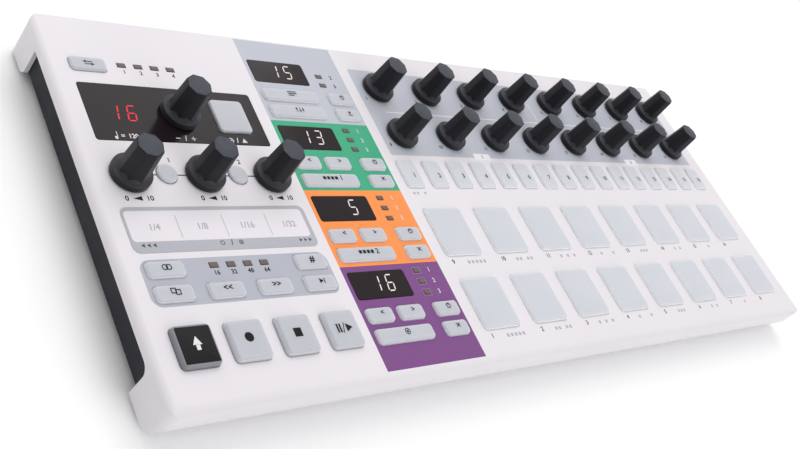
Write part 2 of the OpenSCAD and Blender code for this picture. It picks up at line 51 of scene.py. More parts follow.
# camera, from the vanishing lines and the knob rows of the photograph
cameraSet = {
    "place": (-372.7, -179.3, 266.0),  # mm
    "turn": (44.729, -32.552, -27.551),  # degrees about x, y and z
    "lens": 46.69,
    "sensor": 36,  # mm wide
    "shift": (0.0867, -0.0524),
    "nearest": 10.0,  # mm
}


def placeCamera():
    bpy.ops.object.camera_add(location=Vector(cameraSet["place"]) * mm,
                              rotation=[math.radians(a) for a in cameraSet["turn"]])
    camera = bpy.context.object
    camera.data.lens = cameraSet["lens"]
    camera.data.sensor_width = cameraSet["sensor"]
    camera.data.shift_x, camera.data.shift_y = cameraSet["shift"]
    camera.data.clip_start = cameraSet["nearest"] * mm
    bpy.context.scene.camera = camera


placeCamera()


# small modelling helpers
pickLimits = {  # how an edge or a face is told apart
    "height": 0.001 * mm, "upright": 0.8, "wall": 0.7, "flat": 0.99,
}
smoothAngle = math.radians(32)


def clearSelection():
    if bpy.context.mode != "OBJECT":
        bpy.ops.object.mode_set(mode="OBJECT")
    bpy.ops.object.select_all(action="DESELECT")


def pickOnly(piece):
    clearSelection()
    piece.select_set(True)
    bpy.context.view_layer.objects.active = piece


def startEdit(piece):
    pickOnly(piece)
    bpy.ops.object.mode_set(mode="EDIT")
    bpy.ops.mesh.select_all(action="DESELECT")


def endEdit():
    bpy.ops.object.mode_set(mode="OBJECT")


def pickParts(piece, kind, wanted):
    # kind is EDGE or FACE
    bpy.ops.mesh.select_mode(type=kind)
    bpy.ops.mesh.select_all(action="DESELECT")
    shape = bmesh.from_edit_mesh(piece.data)
    shape.normal_update()
    for part in shape.edges if kind == "EDGE" else shape.faces:
        part.select_set(wanted(part))
    bmesh.update_edit_mesh(piece.data)


def isUpright(edge):
    ends = edge.verts[0].co - edge.verts[1].co
    return abs(ends.z) > pickLimits["upright"] * ends.length


def rimAt(height):
    # edges lying at a height with a wall on one side and a flat on the other
    def wanted(edge):
        level = all(abs(v.co.z - height) < pickLimits["height"] for v in edge.verts)
        return level and any(abs(f.normal.z) < pickLimits["wall"] for f in edge.link_faces)
    return wanted


def pickFlat(piece, height):
    def wanted(face):
        level = abs(face.calc_center_median().z - height) < pickLimits["height"]
        return level and abs(face.normal.z) > pickLimits["flat"]
    pickParts(piece, "FACE", wanted)


def bevelEdges(piece, wanted, offset, segments):
    pickParts(piece, "EDGE", wanted)
    bpy.ops.mesh.bevel(offset=offset, segments=segments, affect="EDGES")


def extrudeBy(height):
    bpy.ops.mesh.extrude_region_move(TRANSFORM_OT_translate={"value": (0, 0, height)})


def applyPlace():
    bpy.ops.object.transform_apply(location=True, rotation=True, scale=True)


def shiftMesh(piece, x, y, z=0.0):
    piece.data.transform(Matrix.Translation((x, y, z)))
    return piece


def copyTo(master, name, x, y, z=0.0):
    clone = master.copy()
    clone.data = master.data.copy()
    clone.name = name
    bpy.context.scene.collection.objects.link(clone)
    return shiftMesh(clone, x, y, z)


def joinAll(name, parts):
    clearSelection()
    for part in parts:
        part.select_set(True)
    bpy.context.view_layer.objects.active = parts[0]
    if len(parts) > 1:
        bpy.ops.object.join()
    parts[0].name = name
    return parts[0]


def dropPiece(piece):
    bpy.data.objects.remove(piece, do_unlink=True)


def settle(piece, body, slot, *stoodFor):
    pickOnly(piece)
    applyPlace()
    bpy.ops.object.shade_smooth_by_angle(angle=smoothAngle)
    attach(piece, body)
    if stoodFor:
        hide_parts(*stoodFor)


def coat(piece, finish):
    piece.data.materials.clear()
    piece.data.materials.append(finish)


def addBlock(name, centre, size):
    clearSelection()
    bpy.ops.mesh.primitive_cube_add(size=1, location=centre)
    piece = bpy.context.object
    piece.name = name
    piece.scale = size
    applyPlace()
    return piece


def addDrum(name, centre, radius, tall, sides=48, turn=(0.0, 0.0, 0.0)):
    clearSelection()
    bpy.ops.mesh.primitive_cylinder_add(vertices=sides, radius=radius, depth=tall,
                                        location=centre, rotation=turn)
    piece = bpy.context.object
    piece.name = name
    applyPlace()
    return piece


def softBlock(name, centre, size, corner, edge, steps):
    # a block with rounded uprights and a softened top rim
    block = addBlock(name, centre, size)
    startEdit(block)
    bevelEdges(block, isUpright, corner, segments=steps)
    bevelEdges(block, rimAt(centre[2] + size[2] / 2), edge, segments=2)
    endEdit()
    return block


def middleOf(nodeName):
    low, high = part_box(nodeName)
    return (low + high) / 2


# colours as they read in the photograph, turned from sRGB to linear values
def tone(code):
    parts = [int(code[i:i + 2], 16) / 255 for i in (1, 3, 5)]
    return [c / 12.92 if c <= 0.04045 else ((c + 0.055) / 1.055) ** 2.4 for c in parts] + [1.0]


# shared shader groups
def newGroup(name, inputs, outputs):
    group = bpy.data.node_groups.new(name, "ShaderNodeTree")
    for way, sockets in (("INPUT", inputs), ("OUTPUT", outputs)):
        for label, kind in sockets:
            group.interface.new_socket(name=label, in_out=way, socket_type="NodeSocket" + kind)
    return group, group.nodes.new("NodeGroupInput"), group.nodes.new("NodeGroupOutput")


grainSet = {"Grain": (2.0, 0.0), "Patch": (4.0, 0.2), "Smudge": (3.0, 1.6)}  # detail and twist of the noise


def buildGrain():
    # fine moulded skin, slow colour patches, and smudges left by hands
    group, entry, leave = newGroup("mouldedGrain", [(label + " Scale", "Float") for label in grainSet],
                                   [(label, "Float") for label in grainSet])
    place = group.nodes.new("ShaderNodeTexCoord")
    for label, (detail, twist) in grainSet.items():
        cloud = group.nodes.new("ShaderNodeTexNoise")
        cloud.inputs["Detail"].default_value = detail
        cloud.inputs["Distortion"].default_value = twist
        group.links.new(place.outputs["Object"], cloud.inputs["Vector"])
        group.links.new(entry.outputs[label + " Scale"], cloud.inputs["Scale"])
        group.links.new(cloud.outputs["Fac"], leave.inputs[label])
    return group


def buildPrintBox():
    # one where a point lies in a round-cornered rectangle on the panel, seen from above
    group, entry, leave = newGroup("printBox", [("Centre", "Vector"), ("Half Size", "Vector"),
                                                ("Corner", "Float"), ("Lowest", "Float")],
                                   [("Mask", "Float")])
    nodes, links = group.nodes, group.links
    place = nodes.new("ShaderNodeTexCoord")

    def vectorStep(operation, first, second=None):
        step = nodes.new("ShaderNodeVectorMath")
        step.operation = operation
        links.new(first, step.inputs[0])
        if second is not None:
            links.new(second, step.inputs[1])
        return step

    def compare(operation, first, second):
        step = nodes.new("ShaderNodeMath")
        step.operation = operation
        links.new(first, step.inputs[0])
        links.new(second, step.inputs[1])
        return step.outputs["Value"]

    away = vectorStep("SUBTRACT", place.outputs["Object"], entry.outputs["Centre"])
    away = vectorStep("ABSOLUTE", away.outputs["Vector"])
    away = vectorStep("SUBTRACT", away.outputs["Vector"], entry.outputs["Half Size"])
    away = vectorStep("MAXIMUM", away.outputs["Vector"])
    away = vectorStep("MULTIPLY", away.outputs["Vector"])
    away.inputs[1].default_value = (1, 1, 0)
    reach = vectorStep("LENGTH", away.outputs["Vector"])
    height = nodes.new("ShaderNodeSeparateXYZ")
    links.new(place.outputs["Object"], height.inputs["Vector"])
    inside = compare("LESS_THAN", reach.outputs["Value"], entry.outputs["Corner"])
    above = compare("GREATER_THAN", height.outputs["Z"], entry.outputs["Lowest"])
    links.new(compare("MULTIPLY", inside, above), leave.inputs["Mask"])
    return group


grainGroup = buildGrain()
printGroup = buildPrintBox()


def mixTone(finish, factor, under, over):
    # colours may be sockets or plain values; 6, 7 and 2 are the mix node's colour sockets
    nodes, links = finish.node_tree.nodes, finish.node_tree.links
    mix = nodes.new("ShaderNodeMix")
    mix.data_type = "RGBA"
    links.new(factor, mix.inputs[0])
    for value, socket in ((under, mix.inputs[6]), (over, mix.inputs[7])):
        if isinstance(value, bpy.types.NodeSocket):
            links.new(value, socket)
        else:
            socket.default_value = value
    return mix.outputs[2]


plainSkin = {  # what a finish has where its own look says nothing else
    "smudge": 30, "depth": 0.05, "metal": 0.0, "shine": 0.5, "sheen": 0.0, "soft": 0.0,
    "smudgeSpan": (0.3, 0.7),  # smudge noise that gives the least and the most roughness
    "scatter": 2.5,  # mm that light travels inside silicone
}


def makeFinish(name, ownLook):
    # patchy colour, smudged gloss and a fine moulded skin, all on Object coordinates
    look = {**plainSkin, **ownLook}
    finish = bpy.data.materials.new(name)
    finish.use_nodes = True
    nodes, links = finish.node_tree.nodes, finish.node_tree.links
    shader = nodes["Principled BSDF"]
    grain = nodes.new("ShaderNodeGroup")
    grain.node_tree = grainGroup
    grain.inputs["Grain Scale"].default_value = look["grain"]
    grain.inputs["Patch Scale"].default_value = look["patch"]
    grain.inputs["Smudge Scale"].default_value = look["smudge"]
    colour = mixTone(finish, grain.outputs["Patch"], tone(look["tones"][0]), tone(look["tones"][1]))
    links.new(colour, shader.inputs["Base Color"])
    gloss = nodes.new("ShaderNodeMapRange")
    gloss.inputs["From Min"].default_value, gloss.inputs["From Max"].default_value = look["smudgeSpan"]
    gloss.inputs["To Min"].default_value, gloss.inputs["To Max"].default_value = look["rough"]
    links.new(grain.outputs["Smudge"], gloss.inputs["Value"])
    links.new(gloss.outputs["Result"], shader.inputs["Roughness"])
    skin = nodes.new("ShaderNodeBump")
    skin.inputs["Strength"].default_value = look["bump"]
    skin.inputs["Distance"].default_value = look["depth"] * mm
    links.new(grain.outputs["Grain"], skin.inputs["Height"])
    links.new(skin.outputs["Normal"], shader.inputs["Normal"])
    for socket, label in (("Metallic", "metal"), ("Specular IOR Level", "shine"), ("Sheen Weight", "sheen"),
                          ("Subsurface Weight", "soft")):
        shader.inputs[socket].default_value = look[label]
    shader.inputs["Subsurface Radius"].default_value = (1.0, 1.0, 1.0)
    shader.inputs["Subsurface Scale"].default_value = look["scatter"] * mm
    if "glow" in look:
        shader.inputs["Emission Color"].default_value = tone(look["tones"][0])
        shader.inputs["Emission Strength"].default_value = look["glow"]
    return finish


def printOn(finish, zones, lowest):
    # lays printed areas over a finish's colour: (low corner, high corner, corner radius, tone), in mm
    nodes, links = finish.node_tree.nodes, finish.node_tree.links
    colour = nodes["Principled BSDF"].inputs["Base Color"].links[0].from_socket
    for low, high, corner, code in zones:
        box = nodes.new("ShaderNodeGroup")
        box.node_tree = printGroup
        half = [max((b - a) / 2 - corner, 0) * mm for a, b in zip(low, high)]
        box.inputs["Centre"].default_value = [(a + b) / 2 * mm for a, b in zip(low, high)] + [0]
        box.inputs["Half Size"].default_value = half + [0]
        box.inputs["Corner"].default_value = corner * mm
        box.inputs["Lowest"].default_value = lowest
        colour = mixTone(finish, box.outputs["Mask"], colour, tone(code))
    links.new(colour, nodes["Principled BSDF"].inputs["Base Color"])


print("shader groups ready")


# floor and light: a bright soft sky that is dimmer on the left, and soft boxes round the table
stageSet = {
    "tones": ("#FFFFFF", "#FCFCFD"), "rough": (0.8, 0.9), "grain": 60, "patch": 2, "bump": 0.02,
    "shine": 0.2,
    "size": 8,  # m
    "sky": 0.88, "dimSky": 0.41, "dimSide": (-1.0, 0.1, 0.25), "dimSpan": (0.2, 0.95),
}
softBoxes = {  # place in m, size in m, power in W
    "overhead": ((0.2, 0.7, 1.05), 1.1, 6.0),
    "rearLeft": ((-0.8, 0.7, 0.7), 0.7, 1.6),
    "front": ((0.25, -1.1, 0.5), 0.8, 2.6),
}


def hangSky():
    world = bpy.data.worlds.new("studio")
    bpy.context.scene.world = world
    world.use_nodes = True
    nodes, links = world.node_tree.nodes, world.node_tree.links
    place = nodes.new("ShaderNodeTexCoord")
    facing = nodes.new("ShaderNodeVectorMath")
    facing.operation = "DOT_PRODUCT"
    facing.inputs[1].default_value = Vector(stageSet["dimSide"]).normalized()
    links.new(place.outputs["Generated"], facing.inputs[0])
    strength = nodes.new("ShaderNodeMapRange")
    strength.interpolation_type = "SMOOTHSTEP"
    strength.inputs["From Min"].default_value = stageSet["dimSpan"][0]
    strength.inputs["From Max"].default_value = stageSet["dimSpan"][1]
    strength.inputs["To Min"].default_value = stageSet["sky"]
    strength.inputs["To Max"].default_value = stageSet["dimSky"]
    links.new(facing.outputs["Value"], strength.inputs["Value"])
    sky = nodes["Background"]
    sky.inputs["Color"].default_value = (1, 1, 1, 1)
    links.new(strength.outputs["Result"], sky.inputs["Strength"])
    bpy.context.scene.view_settings.view_transform = "Standard"


def layFloor():
    clearSelection()
    bpy.ops.mesh.primitive_plane_add(size=stageSet["size"])
    floor = bpy.context.object
    floor.name = "floor"
    coat(floor, makeFinish("floorPaper", stageSet))


def hangLights():
    for name, (place, size, power) in softBoxes.items():
        bpy.ops.object.light_add(type="AREA", location=place)
        lamp = bpy.context.object
        lamp.name = name
        lamp.data.size = size
        lamp.data.energy = power
        lamp.rotation_euler = (-Vector(place)).to_track_quat("-Z", "Y").to_euler()


hangSky()
layFloor()
hangLights()
print("stage and lights ready")


# top shell: satin white moulding with the printed fields of the panel
shellLook = {
    "tones": ("#E4E0E4", "#DEDADF"), "rough": (0.42, 0.55), "grain": 2200, "patch": 25, "smudge": 14,
    "bump": 0.12, "depth": 0.02, "shine": 0.2,
}
fieldPrint = {  # mm, seen from above
    "columnX": (-114.8, -61.6),
    "greyY": (36.2, 80.0), "greenY": (1.25, 36.2), "orangeY": (-34.1, 1.25), "purpleY": (-77.7, -34.1),
    "knobField": ((-55.6, 20.35), (193.5, 69.4)), "knobCorner": 1.0,
    "linkField": ((-198.3, -44.6), (-118.9, -26.8)), "linkCorner": 4.0,
    "tagX": ((-0.6, 10.9), (125.8, 136.6)), "tagY": (19.0, 22.8), "tagCorner": 0.8,
    "knobLine": ((-44.7, 44.8), (180.0, 45.2)), "halfLine": ((67.1, 46.5), (67.5, 57.6)),
    "leftLine": ((-188.5, 7.5), (-128.1, 8.0)),
    "square": 0.05,  # radius of a corner that is left sharp
    "below": 0.2,  # how far under the panel's top the print still holds
    "grey": "#BABDC7", "link": "#B0B2BD", "green": "#3FA67F", "orange": "#F7924D", "purple": "#7B4A85",
    "white": "#ECE9EC", "black": "#2C2C30",
}


def dressShell():
    p = fieldPrint
    left, right = p["columnX"]
    zones = [((left, p[name + "Y"][0]), (right, p[name + "Y"][1]), p["square"], p[name])
             for name in ("grey", "green", "orange", "purple")]
    zones.append((*p["knobField"], p["knobCorner"], p["grey"]))
    zones.append((*p["linkField"], p["linkCorner"], p["link"]))
    zones.append((*p["knobLine"], p["square"], p["white"]))  # lines that tie the knobs together
    zones.append((*p["halfLine"], p["square"], p["white"]))
    for tagX in p["tagX"]:
        zones.append(((tagX[0], p["tagY"][0]), (tagX[1], p["tagY"][1]), p["tagCorner"], p["white"]))
    zones.append((*p["leftLine"], p["square"], p["black"]))  # line through the three left knobs
    finish = makeFinish("shellSatin", shellLook)
    printOn(finish, zones, panelTop - p["below"] * mm)
    coat(cadNodes["top_shell"], finish)


dressShell()
print("shell dressed")


# base pan, board and the other inner parts keep their solids
innerLooks = {
    "base_pan": {"tones": ("#20202A", "#1B1B24"), "rough": (0.5, 0.65), "grain": 1500, "patch": 40,
                 "bump": 0.35, "depth": 0.04, "shine": 0.3},
    "main_board": {"tones": ("#1F5A3A", "#1A4E32"), "rough": (0.3, 0.45), "grain": 700, "patch": 60,
                   "bump": 0.1},
    "digit_displays": {"tones": ("#5A1A18", "#4A1614"), "rough": (0.2, 0.35), "grain": 900, "patch": 80,
                       "bump": 0.05},
    "encoders": {"tones": ("#9A9DA0", "#85888C"), "rough": (0.3, 0.45), "grain": 1500, "patch": 120,
                 "bump": 0.1, "metal": 1.0},
    "rear_sockets": {"tones": ("#202124", "#1A1B1D"), "rough": (0.4, 0.55), "grain": 1600, "patch": 90,
                     "bump": 0.15, "shine": 0.3},
}
for nodeName, look in innerLooks.items():
    coat(cadNodes[nodeName], makeFinish(nodeName + "Finish", look))
print("inner parts dressed")


# keys and pads: soft silicone caps on a flange
silicone = {"rough": (0.42, 0.56), "grain": 1300, "patch": 70, "smudge": 60, "bump": 0.1, "depth": 0.03,
            "shine": 0.3, "soft": 0.8}
# each edge pair of tones is a lighter copy for the caps' sides, rims and collar: painted light for light
# shining through the silicone
capLooks = {
    "padSilicone": {**silicone, "tones": ("#CFD1D7", "#C7CAD1"), "edge": ("#F0F0F3", "#EBEBEF"),
                    "rough": (0.45, 0.6), "patch": 60, "smudge": 45, "bump": 0.12},
    # the step keys' silicone is a lighter copy of the key silicone: painted light where more light falls
    # than on the keys at the left
    "stepSiliconePaintedLighter": {**silicone, "tones": ("#D1D3D8", "#C9CBD2"), "edge": ("#EBECEF", "#E5E6EA")},
    "keySilicone": {**silicone, "tones": ("#C2C3CA", "#BABCC3"), "edge": ("#CDCED3", "#C7C8CD")},
    "bankSilicone": {**silicone, "tones": ("#C4C5CC", "#BCBEC5"), "edge": ("#E2E3E7", "#DCDDE2")},
    "shiftSilicone": {**silicone, "tones": ("#8B8D93", "#7F8188"), "edge": ("#8F9096", "#84858C"),
                      "bump": 0.12, "soft": 0.0},
    "shiftFace": {"tones": ("#171617", "#1B1A1B"), "rough": (0.45, 0.55), "grain": 1500, "patch": 60,
                  "smudge": 80, "bump": 0.06, "depth": 0.02, "shine": 0.15},
}
finishes = {}


def mixFinishes(looks):
    for name, look in looks.items():
        finishes[name] = makeFinish(name, look)
        # a look with edge tones also gets a lighter copy for the caps' sides: painted light
        if "edge" in look:
            finishes[name + "Edge"] = makeFinish(name + "Edge", {**look, "tones": look["edge"]})


mixFinishes(capLooks)
capShape = {"flangeOut": 1.2 * mm, "flangeThick": 1.2 * mm, "flangeTop": panelTop - 2.7 * mm,
            "collarOut": 0.26 * mm, "collarDown": 0.12 * mm,
            "wallTilt": 0.6}  # a face that looks up less than this is a wall


def modelCap(name, size, rise, corner, edge):
    # cap about the origin in plan: flange, a stem that fills the opening, and a top with a pillowed edge
    c = capShape
    low, neck, high = c["flangeTop"], panelTop - c["collarDown"], panelTop + rise
    stem = [side + 2 * c["collarOut"] for side in size]
    cap = addBlock(name, (0, 0, (low + neck) / 2), (*stem, neck - low))
    startEdit(cap)
    bevelEdges(cap, isUpright, corner + c["collarOut"], segments=6)
    pickFlat(cap, neck)
    bpy.ops.mesh.inset(thickness=c["collarOut"])
    extrudeBy(high - neck)
    bevelEdges(cap, rimAt(high), edge, segments=5)
    pickFlat(cap, low)
    bpy.ops.mesh.inset(thickness=c["flangeOut"] - c["collarOut"], use_outset=True)
    pickFlat(cap, low)
    extrudeBy(-c["flangeThick"])
    endEdit()
    return cap


def coatCap(cap, finishName):
    # the sides, rims and collar get the lighter copy of the finish: painted light standing for light that
    # shines through the thin silicone
    coat(cap, finishes[finishName])
    cap.data.materials.append(finishes[finishName + "Edge"])
    neck = panelTop - capShape["collarDown"]
    for face in cap.data.polygons:
        paintedLitFace = abs(face.normal.z) < capShape["wallTilt"] or face.center.z < panelTop
        face.material_index = 1 if paintedLitFace and face.center.z > neck - hair else 0


def riseOf(nodeName):
    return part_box(nodeName)[1].z - panelTop


pads = {"size": (22.6 * mm, 23.8 * mm), "corner": 2.2 * mm, "edge": 0.9 * mm}


def makePads():
    master = modelCap("padMaster", pads["size"], riseOf("pad_1"), pads["corner"], pads["edge"])
    coatCap(master, "padSilicone")
    for i in range(stepCount):
        nodeName = "pad_%d" % (i + 1)
        spot = middleOf(nodeName)
        pad = copyTo(master, "padCap%d" % (i + 1), spot.x, spot.y)
        settle(pad, nodeName, "pad_grey", nodeName)
    dropPiece(master)


makePads()
print("pads made")


singleKeys = {  # cap size and top edge, mm
    "record_button": (14.6, 14.6, 1.3), "stop_button": (14.6, 14.6, 1.3), "play_button": (14.6, 14.6, 1.3),
    "tap_button": (15.1, 15.6, 0.6), "sync_button": (14.6, 6.2, 0.9),
}
keyCorner = 1.7 * mm


def makeSingleKeys():
    for nodeName, (wide, deep, edge) in singleKeys.items():
        spot = middleOf(nodeName)
        key = modelCap(nodeName + "Cap", (wide * mm, deep * mm), riseOf(nodeName), keyCorner, edge * mm)
        shiftMesh(key, spot.x, spot.y)
        coatCap(key, "keySilicone")
        settle(key, nodeName, "key_grey", nodeName)


makeSingleKeys()


shiftKey = {"size": (14.6 * mm, 14.6 * mm), "edge": 0.8 * mm, "face": (12.9 * mm, 12.9 * mm),
            "faceThick": 0.3 * mm, "faceCorner": 0.4 * mm, "faceEdge": 0.12 * mm}


def makeShiftKey():
    spot = middleOf("shift_button")
    rise = riseOf("shift_button")
    key = modelCap("shiftCap", shiftKey["size"], rise, keyCorner, shiftKey["edge"])
    shiftMesh(key, spot.x, spot.y)
    coatCap(key, "shiftSilicone")
    thick = shiftKey["faceThick"]
    face = softBlock("shiftInset", (spot.x, spot.y, panelTop + rise), (*shiftKey["face"], thick),
                     shiftKey["faceCorner"], shiftKey["faceEdge"], steps=4)
    coat(face, finishes["shiftFace"])
    settle(face, "shift_button", "shift_grey")
    settle(key, "shift_button", "shift_grey", "shift_button")


makeShiftKey()
print("single keys made")


bankShape = {"small": 6.2 * mm, "wide": 29.2 * mm, "narrow": 13.0 * mm, "block": 14.6 * mm,
             "step": (10.6 * mm, 14.4 * mm), "edge": 0.9 * mm, "linkCount": 4}  # link keys in the front row


def webBox(nodeName):
    low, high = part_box(nodeName)
    edge = capShape["flangeOut"]
    return low.x + edge, high.x - edge, low.y + edge, high.y - edge


def makeBank(nodeName, keys):
    # keys as (x, y, width, depth) in metres; caps of one size share a master
    masters = {}
    parts = []
    for x, y, wide, deep in keys:
        size = (round(wide, 6), round(deep, 6))  # to the micrometre
        if size not in masters:
            masters[size] = modelCap("capMaster", size, riseOf(nodeName), keyCorner, bankShape["edge"])
        parts.append(copyTo(masters[size], nodeName + "Cap", x, y))
    for master in masters.values():
        dropPiece(master)
    bank = joinAll(nodeName + "Caps", parts)
    # the step keys take the lighter copy of the silicone: painted light
    coatCap(bank, "stepSiliconePaintedLighter" if nodeName == "step_keypad" else "bankSilicone")
    settle(bank, nodeName, "key_grey", nodeName)


def columnKeys(nodeName):
    # the wide front key, the two keys on the right, then those at the rear left
    left, right, front, rear = webBox(nodeName)
    small, wide, narrow = [bankShape[n] for n in ("small", "wide", "narrow")]
    rows = (front + small / 2, rear - small / 2)
    keys = [(left + wide / 2, rows[0], wide, small)]
    keys += [(right - narrow / 2, y, narrow, small) for y in rows]
    if nodeName == "project_keypad":
        keys.append((left + wide / 2, rows[1], wide, small))
    else:
        keys += [(x, rows[1], narrow, small) for x in (left + narrow / 2, left + wide - narrow / 2)]
    return keys


def linkKeys():
    left, right, front, rear = webBox("link_keypad")
    block, small, count = [bankShape[n] for n in ("block", "small", "linkCount")]
    pitch = (right - left - block) / (count - 1)
    keys = [(left + block / 2 + i * pitch, front + small / 2, block, small) for i in range(count)]
    keys += [(x, rear - small / 2, block, small) for x in (left + block / 2, right - block / 2)]
    return keys


def stepKeys():
    left, right, front, rear = webBox("step_keypad")
    wide, deep = bankShape["step"]
    pitch = (right - left - wide) / (stepCount - 1)
    return [(left + wide / 2 + i * pitch, front + deep / 2, wide, deep) for i in range(stepCount)]


columnNames = ["drum_keypad", "sequencer_2_keypad", "sequencer_1_keypad", "project_keypad"]  # front to rear
bankKeys = {name: columnKeys(name) for name in columnNames}
bankKeys["link_keypad"] = linkKeys()
bankKeys["step_keypad"] = stepKeys()
for bankName, bankList in bankKeys.items():
    makeBank(bankName, bankList)
print("key banks made")


roundKeys = {"radius": 4.0 * mm, "edge": 0.6 * mm}


def roundSpots():
    low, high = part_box("track_buttons")
    out = roundKeys["radius"] + capShape["flangeOut"]
    return [(x, high.y - out) for x in (low.x + out, high.x - out)]


def makeRoundKeys():
    foot, top = capShape["flangeTop"] - capShape["flangeThick"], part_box("track_buttons")[1].z
    caps = []
    for x, y in roundSpots():
        cap = addDrum("roundCap", (x, y, (top + foot) / 2), roundKeys["radius"], top - foot, sides=40)
        startEdit(cap)
        bevelEdges(cap, rimAt(top), roundKeys["edge"], segments=4)
        endEdit()
        caps.append(cap)
    bank = joinAll("roundKeyCaps", caps)
    coatCap(bank, "keySilicone")
    settle(bank, "track_buttons", "key_grey", "track_buttons")


makeRoundKeys()
print("round keys made")


# knobs: round brim with a hollow fillet, eight-sided tapered grip, shaft into the encoder
knobShape = {  # mm and degrees
    "brimRadius": 7.8, "brimLow": 0.6, "brimThick": 2.5, "brimEdge": 0.55, "filletIn": 5.5, "filletUp": 2.3,
    "gripFoot": 11.4, "gripTop": 9.8, "turn": 31, "top": 17.1, "gripEdge": 0.35, "topEdge": 0.4,
    "shaftRadius": 3.0, "hollow": 4.6, "hollowUp": 1.2, "shaftLength": 9.4,
}
knobSize = {name: value * mm for name, value in knobShape.items()}
paintedLitBrimFacing = 0.2  # faces of the brim that look up more than this get the lighter brim finish: painted light on its upward faces
knobSkin = {"grain": 1700, "patch": 90, "smudge": 120, "bump": 0.15, "depth": 0.03}
# the top and brim finishes are lighter copies of the dark knob rubber for faces that look up: painted light
knobLooks = {
    "knobGrip": {**knobSkin, "tones": ("#15151B", "#1A1A21"), "rough": (0.45, 0.6), "shine": 0.18,
                 "sheen": 0.16},
    "knobBrim": {**knobSkin, "tones": ("#28282F", "#2F2F38"), "rough": (0.42, 0.6), "shine": 0.28,
                 "sheen": 0.15},
    "knobTopPaintedLit": {**knobSkin, "tones": ("#343741", "#3A3E48"), "rough": (0.4, 0.55), "shine": 0.3,
                "bump": 0.1, "depth": 0.02},
}
mixFinishes(knobLooks)


def modelBrim():
    k = knobSize
    low, high = panelTop + k["brimLow"], panelTop + k["brimLow"] + k["brimThick"]
    brim = addDrum("knobBrim", (0, 0, (low + high) / 2), k["brimRadius"], k["brimThick"], sides=64)
    startEdit(brim)
    bevelEdges(brim, rimAt(high), k["brimEdge"], segments=4)
    pickFlat(brim, high)
    run = k["brimRadius"] - k["brimEdge"] - k["filletIn"]
    steps = 5
    for i in range(steps):
        start, end = math.radians(90 / steps * i), math.radians(90 / steps * (i + 1))
        bpy.ops.mesh.inset(thickness=run * (math.sin(end) - math.sin(start)),
                           depth=k["filletUp"] * (math.cos(start) - math.cos(end)))
    pickFlat(brim, low)
    bpy.ops.mesh.inset(thickness=k["brimRadius"] - k["hollow"], depth=0)
    extrudeBy(k["hollowUp"])
    bpy.ops.mesh.inset(thickness=k["hollow"] - k["shaftRadius"], depth=0)
    extrudeBy(-k["hollowUp"] - k["shaftLength"])
    endEdit()
    return brim


def modelGrip():
    k = knobSize
    low, high = panelTop + k["brimLow"] + k["brimThick"], panelTop + k["top"]
    sides = 8
    toCorner = 1 / math.cos(math.pi / sides)
    turn = math.radians(180 / sides + knobShape["turn"])
    grip = addDrum("knobGripBody", (0, 0, (low + high) / 2), k["gripFoot"] / 2 * toCorner, high - low,
                   sides=sides, turn=(0, 0, turn))
    startEdit(grip)
    pickFlat(grip, high)
    taper = knobShape["gripTop"] / knobShape["gripFoot"]
    bpy.ops.transform.resize(value=(taper, taper, 1), center_override=(0, 0, high))
    bevelEdges(grip, isUpright, k["gripEdge"], segments=3)
    bevelEdges(grip, rimAt(high), k["topEdge"], segments=3)
    endEdit()
    return grip


def makeKnobs():
    brim = modelBrim()
    brimFaces = len(brim.data.polygons)
    master = joinAll("knobMaster", [brim, modelGrip()])
    coat(master, finishes["knobGrip"])
    for name in ("knobTopPaintedLit", "knobBrim"):  # material slots 1 and 2, lighter copies of the rubber: painted light on faces that look up
        master.data.materials.append(finishes[name])
    top = panelTop + knobSize["top"]
    for face in master.data.polygons:
        face.material_index = 1 if face.center.z > top - hair else 0
        if face.index < brimFaces and face.normal.z > paintedLitBrimFacing:
            face.material_index = 2
    names = ["rate_knob", "swing_knob", "randomness_knob", "probability_knob"]
    names += ["knob_%d" % (i + 1) for i in range(stepCount)]
    for nodeName in names:
        spot = middleOf(nodeName)
        knob = copyTo(master, nodeName + "Cap", spot.x, spot.y)
        settle(knob, nodeName, "knob_black", nodeName)
    dropPiece(master)


makeKnobs()
print("knobs made")


# windows: smoked lenses
windowLook = {"tones": ("#241B1F", "#1F171B"), "rough": (0.1, 0.2), "grain": 900, "patch": 30, "smudge": 35,
              "bump": 0.01, "shine": 0.14}
coat(cadNodes["display_windows"], makeFinish("windowSmoke", windowLook))


# touch strip: white film in a printed grey frame with a broad front band
stripLook = {"tones": ("#B3B4BB", "#AEAFB7"), "rough": (0.35, 0.5), "grain": 1800, "patch": 40,
             "smudge": 50, "bump": 0.05, "shine": 0.25}
stripPrint = {"leftFrame": 1.0, "rightFrame": 2.0, "rearFrame": 1.6, "band": 4.4, "corner": 1.6,
              "line": 0.35, "lineFront": 1.0, "lineRear": 2.0, "lineCorner": 0.05, "textDown": 0.6,
              "bandMiddle": 0.6, "film": "#E3DEE3", "divider": "#B7B7BE"}  # mm, and a share of the band
stripShape = {"leftLip": 1.3 * mm, "rightLip": 0.5 * mm, "endLip": 0.25 * mm,
              "lipLow": panelTop + 0.02 * mm, "corner": 2.8 * mm, "edge": 0.12 * mm}


